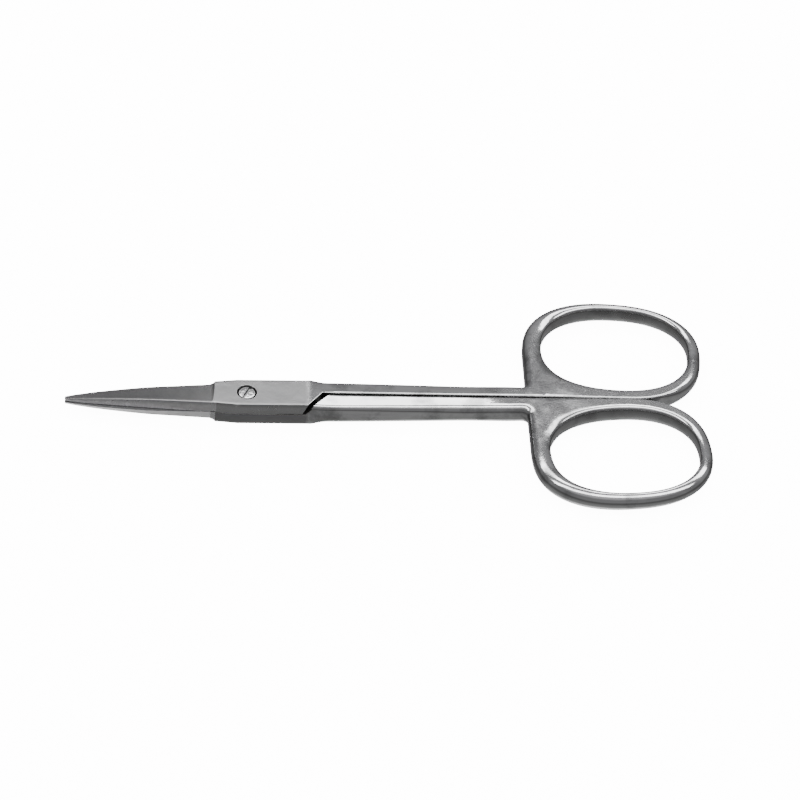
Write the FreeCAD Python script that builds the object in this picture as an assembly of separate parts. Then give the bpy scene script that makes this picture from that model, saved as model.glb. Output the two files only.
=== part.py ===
import FreeCAD, Part
import math
import os

# Small straight scissors for cuticles and nails, lying flat and closed. Lengths are in millimetres.
# +X runs from the pivot to the finger rings, +Y to the ring of the upper half, and +Z up.
# The origin is on the pivot axis, in the flat underside of the joint.
# Each half is one forging: blade, joint, shank and ring. It is drawn here about the plane between
# the halves. The lower half is the same form, turned half a turn about the long axis.

# Reach along X from the pivot
tip_reach = 25.1
step_reach = 4.35
waist_reach = 1.3
shoulder_reach = 8.05
flat_end_reach = 8.9
heel_reach = 38.9

# Joint, where the halves lie on each other
joint_width = 4.95
step_width = 4.1
half_thickness = 1.85
face_gap = 0.04
joint_round = 0.12
shoulder_run = 2.3
shoulder_gap = 0.3
ramp_run = 2.4
ramp_inset = 0.01

# Blade, ground from the step down to a blunt tip
root_spine_height = 1.8
root_edge_height = 1.4
tip_spine_offset = 0.2
tip_edge_offset = 0.45
tip_spine_height = 0.5
tip_edge_height = 0.4
step_round = 0.7
edge_bevel = 0.15
spine_chamfer = 0.15
hollow_depth = 0.1

# Stations along the blade as shares of its length, and how far each size has gone there from root to tip
station_shares = (0.0, 0.36, 0.71, 0.91, 1.0)
edge_offset_shares = (0.0, 0.045, 0.39, 0.75, 1.0)
spine_offset_shares = (0.0, 0.3, 0.635, 0.85, 1.0)
spine_height_shares = (0.0, 0.15, 0.54, 0.86, 1.0)
edge_height_shares = (0.0, 0.45, 0.78, 0.95, 1.0)

# Shank and finger ring, one bar that thins towards the ring's far end
bar_half_thickness = 1.75
ring_end_half_thickness = 1.3
heel_width = 2.4
parting_gap = 0.3
ring_gap = 0.08
shank_round = 0.8
ring_round = 1.15
inner_round = 0.35
parting_round = 0.2
heel_round = 0.8

# Finger ring in plan, a rounded oval round a rounded oval opening
opening_length = 20.7
opening_width = 15.95
back_rim = 2.65
end_rim = 1.8
outer_rim = 1.75
parting_rim = 1.85
ring_lean_deg = 4.5
outer_power = 2.3
parting_power = 2.55
opening_power = 2.3
oval_points = 24
oval_samples = 360
oval_halvings = 30

# Pivot screw
head_diameter = 2.55
head_height = 0.8
head_sink = 0.04
head_clearance = 0.1
head_chamfer = 0.15
seat_clearance = 0.02
shaft_diameter = 1.8
shaft_clearance = 0.04
thread_clearance = 0.01
end_countersink = 0.12
slot_width = 0.45
slot_depth = 0.4
slot_turn_deg = 62.0

# Every cut passes this far beyond the metal
overrun = 1.0

half_width = joint_width / 2
inner_face = face_gap / 2
root_offset = step_width / 2
blade_root = -(step_reach + step_round)
ring_length = back_rim + opening_length + end_rim
ring_width = parting_rim + opening_width + outer_rim
ring_end = heel_reach + ring_length


def point(x, y, z=0.0):
    return FreeCAD.Vector(x, y, z)


def line(start, end):
    return Part.LineSegment(start, end).toShape()


def between(start, end, share):
    return start + (end - start) * share


def closed_face(points):
    return Part.Face(Part.makePolygon(points + points[:1]))


def prism(outline, bottom, top):
    """Upright solid over a plan outline of straight lines."""
    floor = closed_face([point(x, y, bottom) for x, y in outline])
    return floor.extrude(point(0, 0, top - bottom))


def bar_height(x):
    """Half the thickness of the shank and ring at a reach from the pivot."""
    share = (x - shoulder_reach) / (ring_end - shoulder_reach)
    return between(bar_half_thickness, ring_end_half_thickness, share)


def bar_side(x):
    """Offset of the shank's outer side at a reach from the pivot."""
    return between(half_width, heel_width, (x - shoulder_reach) / (heel_reach - shoulder_reach))


def shoulder_line(shift):
    """Two points of a half's slanted shoulder, moved square to itself by shift, on the ring side."""
    start = point(shoulder_reach, -half_width)
    end = point(shoulder_reach + shoulder_run, parting_gap / 2)
    along = end - start
    along.normalize()
    square = point(along.y, -along.x) * shift
    return start + square - along * overrun, end + square + along * overrun


def shoulder_at(x):
    """Offset of the slanted shoulder at a reach from the pivot."""
    return between(-half_width, parting_gap / 2, (x - shoulder_reach) / shoulder_run)


def blade_section(x, spine, edge, spine_height, edge_height):
    """Shallow hollow inside, a thin bevelled cutting edge, a ground outer face and an upright spine."""
    inner_spine = point(x, -spine, inner_face)
    inner_edge = point(x, edge, inner_face)
    depth = hollow_depth * edge_height / root_edge_height
    hollow = point(x, (edge - spine) / 2, inner_face + depth)
    chamfer = spine_chamfer * spine_height / root_spine_height
    bevel_top = point(x, edge - edge_bevel, edge_height)
    spine_top = point(x, chamfer - spine, spine_height)
    spine_side = point(x, -spine, spine_height - chamfer)
    return Part.Wire([
        Part.Arc(inner_spine, hollow, inner_edge).toShape(),
        line(inner_edge, bevel_top),
        line(bevel_top, spine_top),
        line(spine_top, spine_side),
        line(spine_side, inner_spine),
    ])


def blade():
    """Blade from the foot of the step to the tip, with its root run on into the joint."""
    length = tip_reach + blade_root
    sections = [
        blade_section(
            blade_root - length * station,
            between(root_offset, tip_spine_offset, spine_offset_shares[i]),
            between(root_offset, tip_edge_offset, edge_offset_shares[i]),
            between(root_spine_height, tip_spine_height, spine_height_shares[i]),
            between(root_edge_height, tip_edge_height, edge_height_shares[i]),
        )
        for i, station in enumerate(station_shares)
    ]
    body = Part.makeLoft(sections, True, False)
    root = Part.Face(sections[0]).extrude(point(2 * step_round, 0))
    return body.fuse(root)


def step_foot():
    """Concave foot of the step, left by the rim of the wheel that ground the blade."""
    face_width = step_width - edge_bevel - spine_chamfer
    fall = (root_spine_height - root_edge_height) / face_width
    near = -half_width - overrun
    foot = root_spine_height - fall * (near + root_offset - spine_chamfer)
    slant = math.radians(45)
    toe = point(blade_root, near, foot)
    heel = point(-step_reach, near, foot)
    top = point(-step_reach, near, foot + step_round)
    middle = point(
        blade_root + step_round * math.sin(slant), near, foot + step_round * (1 - math.cos(slant)))
    profile = Part.Face(Part.Wire([line(toe, heel), line(heel, top), Part.Arc(top, middle, toe).toShape()]))
    span = joint_width + 2 * overrun
    return profile.extrude(point(0, span, -span * fall))


def joint_block():
    """Flat-topped joint from the ground step to where the shank begins to be rounded."""
    outline = [
        (blade_root, -root_offset),
        (-waist_reach, -half_width),
        (shoulder_reach, -half_width),
        (flat_end_reach, shoulder_at(flat_end_reach)),
        (flat_end_reach, half_width),
        (-waist_reach, half_width),
        (blade_root, root_offset),
    ]
    whole = prism(outline, inner_face, half_thickness)
    side_edges = [
        edge for edge in whole.Edges
        if edge.BoundBox.ZMin > half_thickness / 2 and edge.BoundBox.XLength > 2 * edge.BoundBox.YLength
    ]
    whole = whole.makeFillet(joint_round, side_edges)
    behind = Part.makeBox(
        step_reach + flat_end_reach + overrun, joint_width + 2 * overrun, half_thickness + overrun,
        point(-step_reach, -half_width - overrun, 0))
    return whole.common(behind).fuse(whole.common(step_foot()))


def ramp_section(x, side, height, rounding):
    """Section of the run-out from the joint's flat top to the rounded shank."""
    slant = math.radians(45)
    shoulder = point(x, side - rounding, height)
    flank = point(x, side, height - rounding)
    middle = point(
        x, side - rounding * (1 - math.sin(slant)), height - rounding * (1 - math.cos(slant)))
    near_top = point(x, -half_width, height)
    near_base = point(x, -half_width)
    base = point(x, side)
    return Part.Wire([
        line(near_base, near_top),
        line(near_top, shoulder),
        Part.Arc(shoulder, middle, flank).toShape(),
        line(flank, base),
        line(base, near_base),
    ])


def ramp():
    """Run-out from the joint's flat top to the rounded shank, behind the slanted shoulder."""
    end = flat_end_reach + ramp_run
    body = Part.makeLoft([
        ramp_section(flat_end_reach, half_width, half_thickness, joint_round),
        ramp_section(end, bar_side(end) - ramp_inset, bar_height(end) - ramp_inset, shank_round),
    ], True, True)
    outline = [
        (flat_end_reach, shoulder_at(flat_end_reach)),
        (shoulder_reach + shoulder_run, parting_gap / 2),
        (end, parting_gap / 2),
        (end, joint_width),
        (flat_end_reach, joint_width),
    ]
    return body.common(prism(outline, inner_face, joint_width))


def oval(length, width, power, near_power, centre_x, centre_y):
    """Closed rounded oval in plan, leant a little, with a squareness of its own beside the other ring."""
    lean = math.radians(ring_lean_deg)
    points = []
    for i in range(oval_points):
        turn = 2 * math.pi * i / oval_points
        root = 2 / (power if math.sin(turn) > 0 else near_power)
        along = math.copysign(abs(math.cos(turn)) ** root, math.cos(turn)) * length / 2
        across = math.copysign(abs(math.sin(turn)) ** root, math.sin(turn)) * width / 2
        points.append(point(
            centre_x + along * math.cos(lean) + across * math.sin(lean),
            centre_y - along * math.sin(lean) + across * math.cos(lean)))
    curve = Part.BSplineCurve()
    curve.interpolate(Points=points, PeriodicFlag=True)
    return curve


def lowest(curve, reading):
    """Parameter at which a reading of the curve's points is smallest."""
    step = (curve.LastParameter - curve.FirstParameter) / oval_samples
    places = [curve.FirstParameter + step * i for i in range(oval_samples)]
    best = min(places, key=lambda place: reading(curve.value(place)))
    for _ in range(oval_halvings):
        step = step / 2
        best = min((best - step, best, best + step), key=lambda place: reading(curve.value(place)))
    return best


def ring_curves():
    """Outline and opening of the ring, which just clears the other ring and starts at the heel."""
    outline = oval(
        ring_length, ring_width, outer_power, parting_power,
        heel_reach + ring_length / 2, ring_width / 2)
    opening = oval(
        opening_length, opening_width, opening_power, opening_power,
        heel_reach + back_rim + opening_length / 2, parting_rim + opening_width / 2)
    near = outline.value(lowest(outline, lambda place: place.y))
    back = outline.value(lowest(outline, lambda place: place.x))
    shift = FreeCAD.Matrix()
    shift.move(point(heel_reach - back.x, ring_gap / 2 - near.y))
    outline.transform(shift)
    opening.transform(shift)
    return outline, opening


def through(wire):
    """Plan wire made into a solid that is thicker than the scissors."""
    height = half_thickness + overrun
    body = Part.Face(wire).extrude(point(0, 0, 2 * height))
    body.translate(point(0, 0, -height))
    return body


def bar_blank():
    """Shank and ring with square edges, thinning evenly from the shoulder to the ring's far end."""
    outline, opening = ring_curves()
    start = point(shoulder_reach, parting_gap / 2)
    near = lowest(outline, lambda place: (place.y - start.y) / (place.x - start.x))
    back = lowest(outline, lambda place: place.x)
    near_point = outline.value(near)
    back_point = outline.value(back)
    share = (heel_reach - shoulder_reach) / (near_point.x - shoulder_reach)
    beside_heel = point(heel_reach, between(start.y, near_point.y, share))
    corner = point(heel_reach, heel_width)
    far_start = point(shoulder_reach, half_width)
    wire = Part.Wire([
        line(start, beside_heel),
        line(beside_heel, near_point),
        outline.toShape(near, outline.LastParameter),
        outline.toShape(outline.FirstParameter, back),
        line(back_point, corner),
        line(corner, far_start),
        line(far_start, start),
    ])
    blank = through(wire).cut(through(Part.Wire([opening.toShape()])))
    start_x = shoulder_reach - overrun
    end_x = ring_end + overrun
    profile = closed_face([
        point(start_x, -overrun, -bar_height(start_x)),
        point(end_x, -overrun, -bar_height(end_x)),
        point(end_x, -overrun, bar_height(end_x)),
        point(start_x, -overrun, bar_height(start_x)),
    ])
    blank = blank.common(profile.extrude(point(0, ring_width + 2 * overrun, 0))).Solids[0]
    corner_edges = [
        edge for edge in blank.Edges
        if edge.BoundBox.DiagonalLength < 2 * bar_half_thickness
        and (edge.CenterOfMass - point(corner.x, corner.y, edge.CenterOfMass.z)).Length < ring_gap
    ]
    return blank.makeFillet(heel_round, corner_edges)


def edge_rounding(edge):
    """Rounding at the start and end of an edge of the bar, or nothing where it stays sharp."""
    box = edge.BoundBox
    corner_reach = heel_reach - heel_round / 2
    upright = box.ZLength > bar_half_thickness
    if upright or box.XMax < shoulder_reach + overrun:
        return None
    if edge.isClosed():
        return inner_round, inner_round
    if box.YMax < parting_gap and box.XMin < corner_reach:
        return parting_round, parting_round
    if box.XMax < corner_reach:
        return shank_round, shank_round
    if box.YMax < parting_gap:
        ends = parting_round, ring_round
    elif box.XMin < corner_reach:
        ends = shank_round, ring_round
    else:
        ends = ring_round, ring_round
    forward = edge.Vertexes[0].X < edge.Vertexes[-1].X
    return ends if forward else ends[::-1]


def bar():
    """Shank and ring with every long edge rounded."""
    blank = bar_blank()
    document = FreeCAD.newDocument("bar")
    base = document.addObject("Part::Feature", "blank")
    base.Shape = blank
    rounded = document.addObject("Part::Fillet", "rounded")
    rounded.Base = base
    roundings = [(i + 1, edge_rounding(edge)) for i, edge in enumerate(blank.Edges)]
    rounded.Edges = [(i, pair[0], pair[1]) for i, pair in roundings if pair]
    document.recompute()
    return rounded.Shape.Solids[0].copy()


def shoulder_room():
    """Space that a half leaves in its lower layer for the other half's joint."""
    start, end = shoulder_line(shoulder_gap)
    left = shoulder_reach - joint_width
    outline = [(start.x, -start.y), (end.x, -end.y), (left, -end.y), (left, -start.y)]
    return prism(outline, -half_thickness - overrun, inner_face)


def plain_half():
    """Upper half without its screw hole, about the plane between the halves."""
    shank_and_ring = bar().cut(shoulder_room())
    body = joint_block().fuse([blade(), ramp(), shank_and_ring])
    return body.removeSplitter()


def upper_half():
    """Half whose joint lies on top, bored for the shaft and counterbored for the screw's head."""
    body = plain_half()
    bore = Part.makeCylinder(
        shaft_diameter / 2 + shaft_clearance, half_thickness + overrun, point(0, 0, -overrun / 2))
    head_room = Part.makeCylinder(
        head_diameter / 2 + head_clearance, head_height + head_sink + overrun,
        point(0, 0, half_thickness - head_sink - head_height - seat_clearance))
    body = body.cut([bore, head_room])
    body.translate(point(0, 0, half_thickness))
    return body


def lower_half():
    """The same form turned over, tapped for the screw."""
    body = plain_half()
    radius = shaft_diameter / 2 + thread_clearance
    hole = Part.makeCylinder(radius, half_thickness + overrun, point(0, 0, -overrun / 2))
    mouth = Part.makeCone(radius, radius + end_countersink, end_countersink,
                          point(0, 0, half_thickness - end_countersink))
    body = body.cut([hole, mouth])
    body.rotate(point(0, 0), point(1, 0), 180)
    body.translate(point(0, 0, half_thickness))
    return body


def pivot_screw():
    """Slotted screw with a low round head, its end filed flush with the underside."""
    head_top = 2 * half_thickness - head_sink
    head_base = head_top - head_height
    radius = head_diameter / 2
    shaft = Part.makeCylinder(shaft_diameter / 2, head_base)
    collar = Part.makeCylinder(radius, head_height - head_chamfer, point(0, 0, head_base))
    crown = Part.makeCone(radius, radius - head_chamfer, head_chamfer,
                          point(0, 0, head_top - head_chamfer))
    slot = Part.makeBox(
        head_diameter + 2 * overrun, slot_width, slot_depth + overrun,
        point(-radius - overrun, -slot_width / 2, head_top - slot_depth))
    slot.rotate(point(0, 0), point(0, 0, 1), slot_turn_deg)
    return shaft.fuse([collar, crown]).removeSplitter().cut(slot)


os.makedirs("parts", exist_ok=True)
for name, make in (
    ("upper_half", upper_half),
    ("lower_half", lower_half),
    ("pivot_screw", pivot_screw),
):
    shape = make()
    solids = shape.Solids
    print(name, "solids", len(solids), "valid", shape.isValid(), "volume", round(shape.Volume, 2))
    solids[0].exportStep("parts/" + name + ".step")
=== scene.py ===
import bmesh
import bpy
import math
import numpy as np
from mathutils import Matrix, Vector


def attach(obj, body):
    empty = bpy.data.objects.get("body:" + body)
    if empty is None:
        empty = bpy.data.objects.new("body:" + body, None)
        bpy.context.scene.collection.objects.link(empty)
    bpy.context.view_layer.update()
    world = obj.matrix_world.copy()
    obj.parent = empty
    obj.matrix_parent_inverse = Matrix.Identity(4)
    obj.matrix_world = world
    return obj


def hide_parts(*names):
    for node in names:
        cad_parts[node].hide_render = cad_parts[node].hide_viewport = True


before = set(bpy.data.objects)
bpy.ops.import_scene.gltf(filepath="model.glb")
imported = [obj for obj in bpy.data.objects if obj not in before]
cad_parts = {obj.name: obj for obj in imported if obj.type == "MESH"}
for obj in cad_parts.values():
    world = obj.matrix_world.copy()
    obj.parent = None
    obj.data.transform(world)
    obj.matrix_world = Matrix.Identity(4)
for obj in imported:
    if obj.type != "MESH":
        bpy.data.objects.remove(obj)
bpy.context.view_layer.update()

# Small straight scissors for cuticles and nails, lying flat and closed.
# Shapes are worked out in millimetres, about the plane between the two halves, and made in metres.
# +X runs from the pivot to the finger rings and +Y to the ring of the upper half.
mm = 0.001

# Reach along X from the pivot
tip_reach = 25.1
step_reach = 4.35
waist_reach = 1.3
shoulder_reach = 8.35
flat_end_reach = 8.9
heel_reach = 38.9

# Joint
joint_width = 4.95
step_width = 4.1
half_thickness = 1.85
inner_face = 0.02
joint_round = 0.12
shoulder_run = 2.15
shoulder_draft = 0.7
shoulder_end_draft = 0.4
lower_shoulder_reach = 8.05
lower_shoulder_draft = 0.85
shoulder_round = 0.06
shoulder_blend_share = 0.1
lean_fade_runs = 4
ramp_run = 2.6
ramp_brisk_share = 0.6
seam_relief = 0.1
seam_relief_width = 0.16
# Stretches where the seam gapes: start, first full, last full, end, and share of the relief
seam_openings = (
    (-6.6, -5.9, -4.4, -3.6, 1.0), (-1.2, -0.6, 0.7, 1.4, 0.5), (4.2, 5.0, 11.0, 12.0, 1.0))

# Blade
root_spine_height = 1.8
root_edge_height = 1.4
tip_spine_offset = 0.2
tip_edge_offset = 0.45
tip_spine_height = 0.5
tip_edge_height = 0.4
tip_round = 0.12
tip_turn = math.radians(78)
step_round = 0.7
step_foot_share = 0.15
step_rim = 0.03
edge_bevel = 0.15
edge_round = 0.03
spine_round = 0.15
hollow_depth = 0.1
station_shares = (0.0, 0.36, 0.71, 0.91, 1.0)
edge_offset_shares = (0.0, 0.045, 0.39, 0.75, 1.0)
spine_offset_shares = (0.0, 0.3, 0.635, 0.85, 1.0)
spine_height_shares = (0.0, 0.15, 0.54, 0.86, 1.0)
edge_height_shares = (0.0, 0.45, 0.78, 0.95, 1.0)

# Shank and finger ring, one bar that thins towards the ring's far end
bar_half_thickness = 1.75
ring_end_half_thickness = 1.3
bar_start_reach = 7.8
full_shank_reach = 12.0
full_shank_width = 2.64
heel_width = 2.4
parting_gap = 0.4
knee_reach = 36.0
knee_offset = 0.17
ring_gap = 0.08
parting_round = 0.2
heel_round = 0.8
web_slant = 2.6
shoulder_side_round = 0.6
heel_side_round = 0.95
ring_side_round = 1.35
inner_round = 0.7
back_inner_round = 1.3
broad_round_reach = 2.0
narrow_round_reach = 9.0
ring_swell_shares = (0.1, 0.85)
side_flat = 0.1
inner_bulge = 0.05
crown_drop = 0.24
crown_power = 1.25
crown_end_reach = 29.0

# Finger ring in plan
opening_length = 20.7
opening_width = 15.95
back_rim = 2.65
end_rim = 1.8
outer_rim = 1.75
parting_rim = 1.85
ring_lean = math.radians(4.5)
outer_power = 2.3
near_power = 2.55
opening_power = 2.3

# Pivot screw
head_diameter = 2.55
head_height = 0.8
head_sink = 0.04
head_clearance = 0.1
head_top_inset = 0.11
head_round = 0.12
head_round_degrees = 84
head_crown = 0.04
seat_clearance = 0.02
shaft_diameter = 1.8
shaft_clearance = 0.04
thread_clearance = 0.01
end_countersink = 0.12
end_round = 0.1
rim_chamfer = 0.05
slot_width = 0.42
slot_depth = 0.4
slot_flare = 0.04
slot_turn = math.radians(62)
crown_shares = (0.8, 0.6, 0.4, 0.2, 0.05)
overrun = 1.0

# Mesh fineness
oval_nodes = 1440
side_nodes = 160
heel_nodes = 17
heel_node = 8
near_line_nodes = (60, 30, 200, 300)
far_line_nodes = (260, 40, 500)
ring_edge_nodes = (34, 60, 110, 14)
tip_sections = 5
blade_sections = 62
step_sections = 7
waist_section_shares = (0.0, 0.03, 0.08, 0.16, 0.3, 0.44, 0.58, 0.72, 0.86, 1.0)
joint_sections = 24
shoulder_sections = 41
leaning_sections = 37
shank_sections = 50
near_nodes = 5
joint_far_nodes = 6
shank_far_nodes = 10
middle_nodes = 10
wall_rows = 3
inner_rows = 8
ring_outer_nodes = 14
ring_middle_nodes = 6
ring_inner_nodes = 8
ring_even_share = 0.1
ring_outer_share = 0.55
ring_inner_share = 0.4
turned_sides = 96
screw_end_nodes = 5
screw_seat_nodes = 4
screw_rim_nodes = 8
points_at_once = 400
weld_distance = 0.0005
sharp_angle = math.radians(33)

half_width = joint_width / 2
root_offset = step_width / 2
blade_root = -(step_reach + step_round)
ring_length = back_rim + opening_length + end_rim
ring_width = parting_rim + opening_width + outer_rim
ring_end = heel_reach + ring_length
parting_offset = parting_gap / 2


def between(start, end, share):
    return start + (end - start) * share


def smooth_step(value, start, end):
    share = np.clip((value - start) / (end - start), 0, 1)
    return share * share * (3 - 2 * share)


def smooth_curve(places, values, where):
    """Smooth curve through a short rising table."""
    places, values = np.array(places), np.array(values)
    steps = np.diff(places)
    slopes = np.diff(values) / steps
    tangents = np.concatenate((
        slopes[:1], 2 * slopes[:-1] * slopes[1:] / (slopes[:-1] + slopes[1:]), slopes[-1:]))
    i = np.clip(np.searchsorted(places, where) - 1, 0, len(steps) - 1)
    share = (where - places[i]) / steps[i]
    rise = values[i + 1] - values[i]
    first, last = tangents[i] * steps[i] - rise, rise - tangents[i + 1] * steps[i]
    return values[i] + share * rise + share * (1 - share) * ((1 - share) * first + share * last)


def bar_height(x):
    """Half the thickness of the shank and ring."""
    share = (x - bar_start_reach) / (ring_end - bar_start_reach)
    return between(bar_half_thickness, ring_end_half_thickness, share)


def bar_side(x):
    """Offset of the shank's outer side, which swells behind the joint and narrows to the heel."""
    swell = between(half_width, full_shank_width, smooth_step(x, bar_start_reach, full_shank_reach))
    share = np.clip((x - full_shank_reach) / (heel_reach - full_shank_reach), 0, 1)
    return swell + (heel_width - full_shank_width) * share


def joint_side(x):
    """Half the width of the joint, which narrows from its waist to the blade."""
    share = np.clip((-waist_reach - x) / (-waist_reach - blade_root), 0, 1)
    return between(half_width, root_offset, share)


def rounding(distance, width, height):
    """How far a rounded edge has fallen at a distance from its side."""
    share = np.clip(1 - distance / width, 0, 1)
    return height * (1 - np.sqrt(1 - share ** 2))


def nearest(points, line):
    """Distance from plan points to a polyline, and the place along it, counted in its points."""
    start, step = line[:-1], np.diff(line, axis=0)
    length = (step ** 2).sum(1)
    distances, places = [], []
    for part in np.array_split(points, len(points) // points_at_once + 1):
        offset = part[:, None] - start[None]
        share = np.clip((offset * step[None]).sum(2) / length, 0, 1)
        gap = ((offset - share[..., None] * step[None]) ** 2).sum(2)
        best = gap.argmin(1)
        rows = np.arange(len(part))
        distances.append(np.sqrt(gap[rows, best]))
        places.append(best + share[rows, best])
    return np.concatenate(distances), np.concatenate(places)


def oval(length, width, power, lower_power, centre, turns):
    """Rounded oval in plan, leant a little."""
    root = 2 / np.where(np.sin(turns) > 0, power, lower_power)
    along = np.sign(np.cos(turns)) * np.abs(np.cos(turns)) ** root * length / 2
    across = np.sign(np.sin(turns)) * np.abs(np.sin(turns)) ** root * width / 2
    return np.stack((
        centre[0] + along * math.cos(ring_lean) + across * math.sin(ring_lean),
        centre[1] - along * math.sin(ring_lean) + across * math.cos(ring_lean)), 1)


def run_along(line):
    """Distance along a polyline at each of its points."""
    return np.concatenate(([0], np.cumsum(np.linalg.norm(np.diff(line, axis=0), axis=1))))


def spaced(line, count):
    """Points evenly spaced along a polyline, both ends included."""
    run = run_along(line)
    marks = np.linspace(0, run[-1], count)
    return np.stack((np.interp(marks, run, line[:, 0]), np.interp(marks, run, line[:, 1])), 1)


class Outlines:
    """Plan lines of a half: its near side, its far side and the finger opening."""

    def __init__(self):
        turns = np.linspace(0, 2 * math.pi, oval_nodes + 1)[:-1]
        outline = oval(
            ring_length, ring_width, outer_power, near_power,
            (heel_reach + ring_length / 2, ring_width / 2), turns)
        opening = oval(
            opening_length, opening_width, opening_power, opening_power,
            (heel_reach + back_rim + opening_length / 2, parting_rim + opening_width / 2), turns)
        shift = np.array((heel_reach - outline[:, 0].min(), ring_gap / 2 - outline[:, 1].min()))
        outline, opening = outline + shift, opening + shift
        start = np.array((knee_reach, knee_offset))
        reading = (outline[:, 1] - start[1]) / (outline[:, 0] - start[0])
        touch, end, back = reading.argmin(), outline[:, 0].argmax(), outline[:, 0].argmin()
        around = np.arange(len(outline))
        near_side = outline[around[touch:]]
        if end < touch:
            near_side = np.concatenate((near_side, outline[:end + 1]))
        self.opening = np.concatenate((opening, opening[:1]))
        self.touch = outline[touch]
        self.ring_near = near_side
        self.ring_far = outline[end:back + 1]
        self.heel = self.heel_corner()
        side_x = np.linspace(bar_start_reach, heel_reach - heel_round, side_nodes)
        self.side = np.column_stack((side_x, bar_side(side_x)))

    def heel_corner(self):
        """Rounded inside corner where the ring leaves the shank, from the ring down to the shank."""
        turns = np.linspace(0, math.pi / 2, heel_nodes)
        centre = np.array((heel_reach - heel_round, bar_side(heel_reach - heel_round) + heel_round))
        return centre + heel_round * np.column_stack((np.cos(turns), -np.sin(turns)))

    def parting(self, x):
        """Offset of the line where the two shanks and webs face each other."""
        return np.interp(
            x, (bar_start_reach, knee_reach, self.touch[0]),
            (parting_offset, knee_offset, self.touch[1]))


plan = Outlines()


def near_point(x):
    """Plan point of the shank's parting side."""
    return np.array((x, plan.parting(x)))


def far_point(x):
    """Plan point of the shank's outer side."""
    return np.array((x, bar_side(x)))


shoulder_start = np.array((shoulder_reach, -half_width))
shoulder_end = near_point(shoulder_reach + shoulder_run)


def near_boundary():
    """Near side of a half from the blade's root to the ring's far end, with its edge roundings."""
    joint = np.array((
        (blade_root - overrun, -root_offset), (blade_root, -root_offset),
        (-waist_reach, -half_width), shoulder_start))
    shoulder = np.stack((shoulder_start, shoulder_end))
    parting = np.stack((shoulder_end, (knee_reach, knee_offset), plan.touch))
    joint, shoulder, parting, ring = (
        spaced(line, count)
        for line, count in zip((joint, shoulder, parting, plan.ring_near), near_line_nodes))
    line = np.concatenate((joint, shoulder[1:], parting[1:], ring[1:]))
    softened = smooth_step(parting[1:, 0], shoulder_end[0], shoulder_end[0] + shoulder_run)
    swollen = smooth_step(np.linspace(0, 1, len(ring) - 1), *ring_swell_shares)
    width = np.concatenate((
        np.full(len(joint), joint_round), np.full(len(shoulder) - 1, shoulder_round),
        between(shoulder_round, parting_round, softened),
        between(parting_round, ring_side_round, swollen)))
    full = np.clip((width - parting_round) / (ring_side_round - parting_round), 0, 1)
    height = between(width, bar_height(line[:, 0]) - side_flat, full)
    return line, np.column_stack((width, height))


def far_boundary():
    """Outer side of the shank and ring from the joint to the ring's far end, with its rounding."""
    side = np.concatenate((((0, half_width),), plan.side))
    back = np.stack((plan.heel[0], plan.ring_far[-1]))
    side, back, ring = (
        spaced(line, count) for line, count in zip((side, back, plan.ring_far[::-1]), far_line_nodes))
    line = np.concatenate((side, plan.heel[::-1][1:], back[1:], ring[1:]))
    run = run_along(line)
    heel_run = run[len(side)]
    to_ring = smooth_step(run, heel_run - heel_width, heel_run + 2 * heel_width)
    to_heel = smooth_step(line[:, 0], full_shank_reach, heel_reach)
    shank = between(shoulder_side_round, heel_side_round, to_heel)
    width = between(shank, ring_side_round, to_ring)
    height = between(shank, bar_height(line[:, 0]) - side_flat, to_ring)
    return line, np.column_stack((width, height))


near_line, near_shape = near_boundary()
far_line, far_shape = far_boundary()
joint_far_line = np.concatenate((
    ((blade_root - overrun, root_offset), (blade_root, root_offset), (-waist_reach, half_width)),
    plan.side))


def edge_fall(points, line, shape):
    """How far the rounded edge along a boundary has fallen at plan points."""
    distance, place = nearest(points, line)
    index = np.arange(len(line))
    return rounding(
        distance, np.interp(place, index, shape[:, 0]), np.interp(place, index, shape[:, 1]))


def crown(points):
    """Gentle fall of the shank's flat from the parting line to its outer side."""
    x, y = points[:, 0], points[:, 1]
    inner = plan.parting(x)
    share = np.clip((y - inner) / (bar_side(x) - inner), 0, 1)
    fade = 1 - smooth_step(x, crown_end_reach, heel_reach - heel_round)
    return crown_drop * fade * share ** crown_power


def inner_width(x):
    """Width of the opening's rounded edge, which is broad at the back rim."""
    narrowing = smooth_step(x, heel_reach + broad_round_reach, heel_reach + narrow_round_reach)
    return between(back_inner_round, inner_round, narrowing)


def bar_surface(points):
    """Height of the shank's and ring's rounded surface above the plane between the halves."""
    opening_distance, _ = nearest(points, plan.opening)
    falls = (
        edge_fall(points, near_line, near_shape), edge_fall(points, far_line, far_shape),
        rounding(opening_distance, inner_width(points[:, 0]), inner_round))
    return bar_height(points[:, 0]) - crown(points) - np.maximum.reduce(falls)


def joint_surface(points):
    """Height of the joint's flat top with its softened edges."""
    far_distance, _ = nearest(points, joint_far_line)
    fall = np.maximum(
        edge_fall(points, near_line, near_shape), rounding(far_distance, joint_round, joint_round))
    return half_thickness - fall


def run_out(x):
    """How far the flat joint has become the rounded shank."""
    share = np.clip((x - flat_end_reach) / ramp_run, 0, 1)
    brisk, smooth = share * (2 - share), share * share * (3 - 2 * share)
    return between(smooth, brisk, ramp_brisk_share)


def upper_surface(points):
    """Height of a half's outer face from the ground step to the ring."""
    share = run_out(points[:, 0])
    return between(joint_surface(points), bar_surface(points), share)


def cluster(count):
    """Shares of an edge rounding's width, close together where it is steep."""
    return 1 - np.cos(np.linspace(0, math.pi / 2, count))


def across_shares(width, near_round, far_round, far_count):
    """Shares of a section's width at which it has points, from its near side to its far side."""
    middle_count = middle_nodes + shank_far_nodes - far_count
    near = near_round * cluster(near_nodes)
    far = width - far_round * cluster(far_count)[::-1]
    middle = np.linspace(near_round, width - far_round, middle_count + 2)[1:-1]
    return np.concatenate((near, middle, far)) / width


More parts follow.
